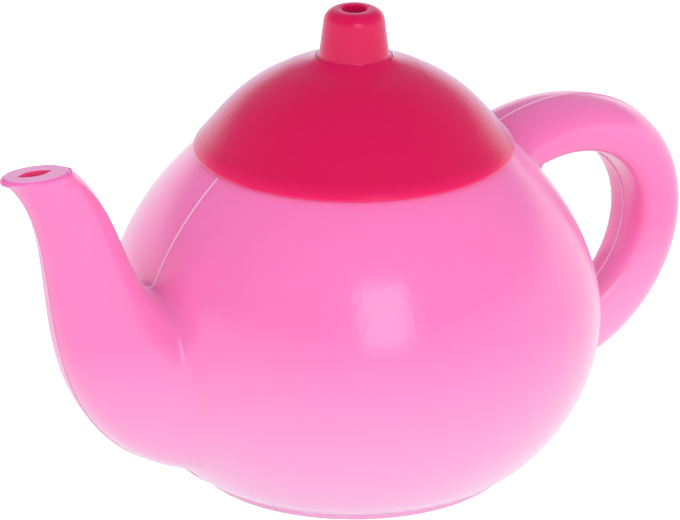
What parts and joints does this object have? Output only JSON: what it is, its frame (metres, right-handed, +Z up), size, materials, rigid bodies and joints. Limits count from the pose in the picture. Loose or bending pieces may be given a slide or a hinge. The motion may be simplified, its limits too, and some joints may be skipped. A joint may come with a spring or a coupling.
{
  "type": "toy teapot",
  "caption": "Soft-plastic toy teapot: round pot of seamed half shells with a curved spout and a loop handle, and a domed lid with a knob that lifts off.",
  "frame": {"origin": "middle of the pot's flat foot, on the axis of its round belly", "axes": "+Z up along the pot's axis, the handle towards +X and the spout towards -X, the seam between the halves on Y = 0"},
  "size_m": [0.1988, 0.1248, 0.1208],
  "materials": {
    "pot": "soft satin-gloss polyethylene, light pink",
    "lid": "soft satin-gloss polyethylene, raspberry pink"
  },
  "bodies": {
    "pot": {"pot_near_half": "pot", "pot_far_half": "pot"},
    "lid": {"lid_dome": "lid", "lid_knob": "lid"}
  },
  "joints": [
    {"name": "lid_lift", "type": "slide", "parent": "pot", "child": "lid", "axis": [0, 0, 1], "range_m": [0, 0.04]}
  ]
}
